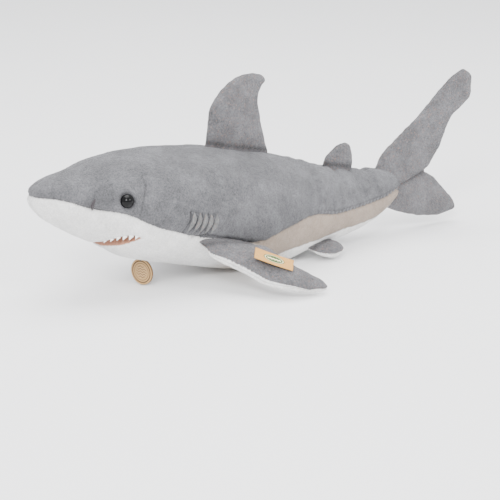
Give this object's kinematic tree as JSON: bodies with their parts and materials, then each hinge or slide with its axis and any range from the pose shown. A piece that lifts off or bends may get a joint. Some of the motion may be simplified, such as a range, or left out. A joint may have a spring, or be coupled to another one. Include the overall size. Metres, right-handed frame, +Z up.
{
  "type": "plush shark",
  "caption": "Stuffed shark toy with sewn plush panels, fibre filling, fins that bend at their root seams, a lined mouth with felt teeth, glossy button eyes and swinging paper tags.",
  "frame": {"origin": "under the middle of the whole toy's box, on the surface its belly rests on", "axes": "X along the body with the nose at -X and the tail at +X, +Y is the toy's right side, +Z is up"},
  "size_m": [0.5013, 0.2358, 0.1786],
  "materials": {
    "grey_plush": "short pile plush, slightly mottled",
    "beige_plush": "short pile plush",
    "white_plush": "short pile plush",
    "lining_felt": "felt",
    "tooth_felt": "stiff felt",
    "thread": "embroidery thread",
    "filling": "polyester fibre",
    "eye_plastic": "high gloss",
    "washer_plastic": "moulded",
    "tag_board": "kraft board, printed",
    "tag_cord": "waxed cord",
    "label_card": "kraft card, printed",
    "pin_plastic": "moulded"
  },
  "bodies": {
    "body": {"back_panel_left": "grey_plush", "back_panel_right": "grey_plush", "side_panel_left": "beige_plush", "side_panel_right": "beige_plush", "belly_panel": "white_plush", "body_filling": "filling", "mouth_lining_upper": "lining_felt", "mouth_lining_lower": "lining_felt", "teeth_left": "tooth_felt", "teeth_right": "tooth_felt", "eye_left": "eye_plastic", "eye_right": "eye_plastic", "eye_washer_left": "washer_plastic", "eye_washer_right": "washer_plastic", "nostril_embroidery_left": "thread", "nostril_embroidery_right": "thread", "gill_tucks_left": "grey_plush", "gill_tucks_right": "grey_plush", "closing_seam_thread": "thread"},
    "dorsal_fin": {"dorsal_fin_left": "grey_plush", "dorsal_fin_right": "grey_plush", "dorsal_fin_filling": "filling"},
    "rear_dorsal_fin": {"rear_dorsal_fin_left": "grey_plush", "rear_dorsal_fin_right": "grey_plush", "rear_dorsal_fin_filling": "filling"},
    "pectoral_fin_left": {"pectoral_fin_top_left": "grey_plush", "pectoral_fin_bottom_left": "white_plush", "pectoral_fin_filling_left": "filling", "card_pin": "pin_plastic"},
    "pectoral_fin_right": {"pectoral_fin_top_right": "grey_plush", "pectoral_fin_bottom_right": "white_plush", "pectoral_fin_filling_right": "filling"},
    "pelvic_fin_left": {"pelvic_fin_top_left": "grey_plush", "pelvic_fin_bottom_left": "white_plush", "pelvic_fin_filling_left": "filling"},
    "pelvic_fin_right": {"pelvic_fin_top_right": "grey_plush", "pelvic_fin_bottom_right": "white_plush", "pelvic_fin_filling_right": "filling"},
    "tail_fin": {"tail_fin_upper_left": "grey_plush", "tail_fin_upper_right": "grey_plush", "tail_fin_upper_filling": "filling", "tail_fin_lower_left": "grey_plush", "tail_fin_lower_right": "grey_plush", "tail_fin_lower_filling": "filling"},
    "hang_tag": {"round_tag": "tag_board", "tag_loop": "tag_cord"},
    "card": {"card_label": "label_card"}
  },
  "joints": [
    {"name": "dorsal_fin_seam", "type": "hinge", "parent": "body", "child": "dorsal_fin", "pos_m": [-0.06937, 0, 0.12009], "axis": [0.9757, 0, -0.2189], "range_deg": [-20, 20], "stiffness_Nm_per_rad": 0.25},
    {"name": "rear_dorsal_fin_seam", "type": "hinge", "parent": "body", "child": "rear_dorsal_fin", "pos_m": [0.06439, 0, 0.08216], "axis": [0.9761, 0, -0.2174], "range_deg": [-25, 25], "stiffness_Nm_per_rad": 0.05},
    {"name": "pectoral_fin_left_seam", "type": "hinge", "parent": "body", "child": "pectoral_fin_left", "pos_m": [-0.11306, -0.05452, 0.0473], "axis": [0.9676, 0.0147, -0.252], "range_deg": [-25, 12], "stiffness_Nm_per_rad": 0.3},
    {"name": "pectoral_fin_right_seam", "type": "hinge", "parent": "body", "child": "pectoral_fin_right", "pos_m": [-0.11306, 0.05452, 0.0473], "axis": [0.9676, -0.0147, -0.252], "range_deg": [-12, 25], "stiffness_Nm_per_rad": 0.3},
    {"name": "pelvic_fin_left_seam", "type": "hinge", "parent": "body", "child": "pelvic_fin_left", "pos_m": [0.02317, -0.03405, 0.01303], "axis": [0.9718, 0.2338, 0.0307], "range_deg": [-15, 10], "stiffness_Nm_per_rad": 0.05},
    {"name": "pelvic_fin_right_seam", "type": "hinge", "parent": "body", "child": "pelvic_fin_right", "pos_m": [0.02317, 0.03405, 0.01303], "axis": [0.9718, -0.2338, 0.0307], "range_deg": [-10, 15], "stiffness_Nm_per_rad": 0.05},
    {"name": "tail_bend", "type": "hinge", "parent": "body", "child": "tail_fin", "pos_m": [0.14337, 0, 0.05], "axis": [0, 0, 1], "range_deg": [-25, 25], "stiffness_Nm_per_rad": 0.4},
    {"name": "tag_swing", "type": "hinge", "parent": "body", "child": "hang_tag", "pos_m": [-0.13794, 0, 0.02671], "axis": [0.342, -0.9397, 0], "range_deg": [-30, 12]},
    {"name": "card_turn", "type": "hinge", "parent": "pectoral_fin_left", "child": "card", "pos_m": [-0.07045, -0.08264, 0.03811], "axis": [0.246, -0.279, 0.9282], "range_deg": [-30, 30]}
  ]
}
